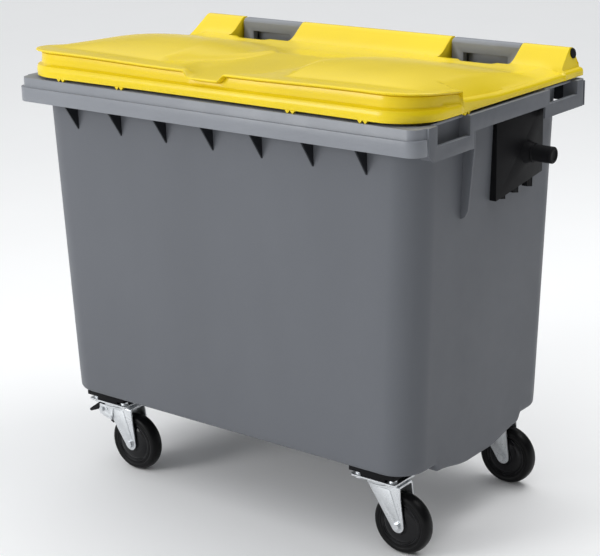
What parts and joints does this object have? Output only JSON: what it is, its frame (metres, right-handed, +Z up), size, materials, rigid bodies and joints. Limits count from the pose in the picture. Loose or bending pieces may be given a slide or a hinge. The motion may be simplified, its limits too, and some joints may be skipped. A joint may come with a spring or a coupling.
{
  "type": "four-wheeled waste container",
  "caption": "Tapered waste container with a stepped rim, domed hinged lid, lifting trunnions and braked swivel casters.",
  "frame": {"origin": "on the ground, under the centre of the bounding box", "axes": "+X along the long side towards the right-hand trunnion, +Y from the front to the hinge side, +Z up"},
  "size_m": [1.37, 0.768, 1.186],
  "materials": {
    "grey_plastic": "moulded, slightly textured",
    "yellow_plastic": "moulded, glossy",
    "black_plastic": "moulded, satin",
    "zinc_steel": "zinc plated",
    "seal_rubber": "matt",
    "wheel_plastic": "moulded, satin",
    "tyre_rubber": "solid rubber, matt",
    "bush_plastic": "plain"
  },
  "bodies": {
    "root": {"tub_shell": "grey_plastic", "rim_frame": "grey_plastic", "rear_handle_left": "grey_plastic", "rear_handle_right": "grey_plastic", "trunnion_panel_left": "black_plastic", "trunnion_panel_right": "black_plastic", "trunnion_sleeve_left": "black_plastic", "trunnion_sleeve_right": "black_plastic", "drain_plug": "black_plastic", "handle_bolts": "zinc_steel", "hinge_rod": "zinc_steel", "trunnion_pin_left": "zinc_steel", "trunnion_pin_right": "zinc_steel", "trunnion_screws": "zinc_steel", "caster_bolts": "zinc_steel", "caster_nuts": "zinc_steel", "kingpins": "zinc_steel", "drain_seal": "seal_rubber", "caster_mount_front_left": "black_plastic", "caster_plate_front_left": "zinc_steel", "caster_mount_front_right": "black_plastic", "caster_plate_front_right": "zinc_steel", "caster_mount_rear_left": "black_plastic", "caster_plate_rear_left": "zinc_steel", "caster_mount_rear_right": "black_plastic", "caster_plate_rear_right": "zinc_steel"},
    "lid": {"lid_shell": "yellow_plastic", "lid_buffers": "yellow_plastic", "hinge_plug_left": "black_plastic", "hinge_plug_right": "black_plastic"},
    "swivel_front_left": {"fork_front_left": "zinc_steel", "ball_cage_front_left": "zinc_steel", "axle_bolt_front_left": "zinc_steel", "brake_bracket_front_left": "zinc_steel", "brake_pin_front_left": "zinc_steel"},
    "wheel_front_left": {"wheel_centre_front_left": "wheel_plastic", "tyre_front_left": "tyre_rubber", "wheel_bush_front_left": "bush_plastic"},
    "swivel_front_right": {"fork_front_right": "zinc_steel", "ball_cage_front_right": "zinc_steel", "axle_bolt_front_right": "zinc_steel"},
    "wheel_front_right": {"wheel_centre_front_right": "wheel_plastic", "tyre_front_right": "tyre_rubber", "wheel_bush_front_right": "bush_plastic"},
    "swivel_rear_left": {"fork_rear_left": "zinc_steel", "ball_cage_rear_left": "zinc_steel", "axle_bolt_rear_left": "zinc_steel", "brake_bracket_rear_left": "zinc_steel", "brake_pin_rear_left": "zinc_steel"},
    "wheel_rear_left": {"wheel_centre_rear_left": "wheel_plastic", "tyre_rear_left": "tyre_rubber", "wheel_bush_rear_left": "bush_plastic"},
    "swivel_rear_right": {"fork_rear_right": "zinc_steel", "ball_cage_rear_right": "zinc_steel", "axle_bolt_rear_right": "zinc_steel"},
    "wheel_rear_right": {"wheel_centre_rear_right": "wheel_plastic", "tyre_rear_right": "tyre_rubber", "wheel_bush_rear_right": "bush_plastic"},
    "brake_front_left": {"brake_pedal_front_left": "black_plastic"},
    "brake_rear_left": {"brake_pedal_rear_left": "black_plastic"}
  },
  "joints": [
    {"name": "lid_hinge", "type": "hinge", "parent": "root", "child": "lid", "pos_m": [0, 0.364, 1.161], "axis": [-1, 0, 0], "range_deg": [0, 265]},
    {"name": "swivel_front_left", "type": "hinge", "parent": "root", "child": "swivel_front_left", "pos_m": [-0.447, -0.251, 0.184], "axis": [0, 0, 1], "continuous": true},
    {"name": "wheel_front_left", "type": "hinge", "parent": "swivel_front_left", "child": "wheel_front_left", "pos_m": [-0.392, -0.251, 0.08], "axis": [0, 1, 0], "continuous": true},
    {"name": "swivel_front_right", "type": "hinge", "parent": "root", "child": "swivel_front_right", "pos_m": [0.447, -0.251, 0.184], "axis": [0, 0, 1], "continuous": true},
    {"name": "wheel_front_right", "type": "hinge", "parent": "swivel_front_right", "child": "wheel_front_right", "pos_m": [0.502, -0.251, 0.08], "axis": [0, 1, 0], "continuous": true},
    {"name": "swivel_rear_left", "type": "hinge", "parent": "root", "child": "swivel_rear_left", "pos_m": [-0.447, 0.251, 0.184], "axis": [0, 0, 1], "continuous": true},
    {"name": "wheel_rear_left", "type": "hinge", "parent": "swivel_rear_left", "child": "wheel_rear_left", "pos_m": [-0.392, 0.251, 0.08], "axis": [0, 1, 0], "continuous": true},
    {"name": "swivel_rear_right", "type": "hinge", "parent": "root", "child": "swivel_rear_right", "pos_m": [0.447, 0.251, 0.184], "axis": [0, 0, 1], "continuous": true},
    {"name": "wheel_rear_right", "type": "hinge", "parent": "swivel_rear_right", "child": "wheel_rear_right", "pos_m": [0.502, 0.251, 0.08], "axis": [0, 1, 0], "continuous": true},
    {"name": "brake_front_left", "type": "hinge", "parent": "swivel_front_left", "child": "brake_front_left", "pos_m": [-0.491, -0.251, 0.163], "axis": [0, -1, 0], "range_deg": [0, 16]},
    {"name": "brake_rear_left", "type": "hinge", "parent": "swivel_rear_left", "child": "brake_rear_left", "pos_m": [-0.491, 0.251, 0.163], "axis": [0, -1, 0], "range_deg": [0, 16]}
  ]
}
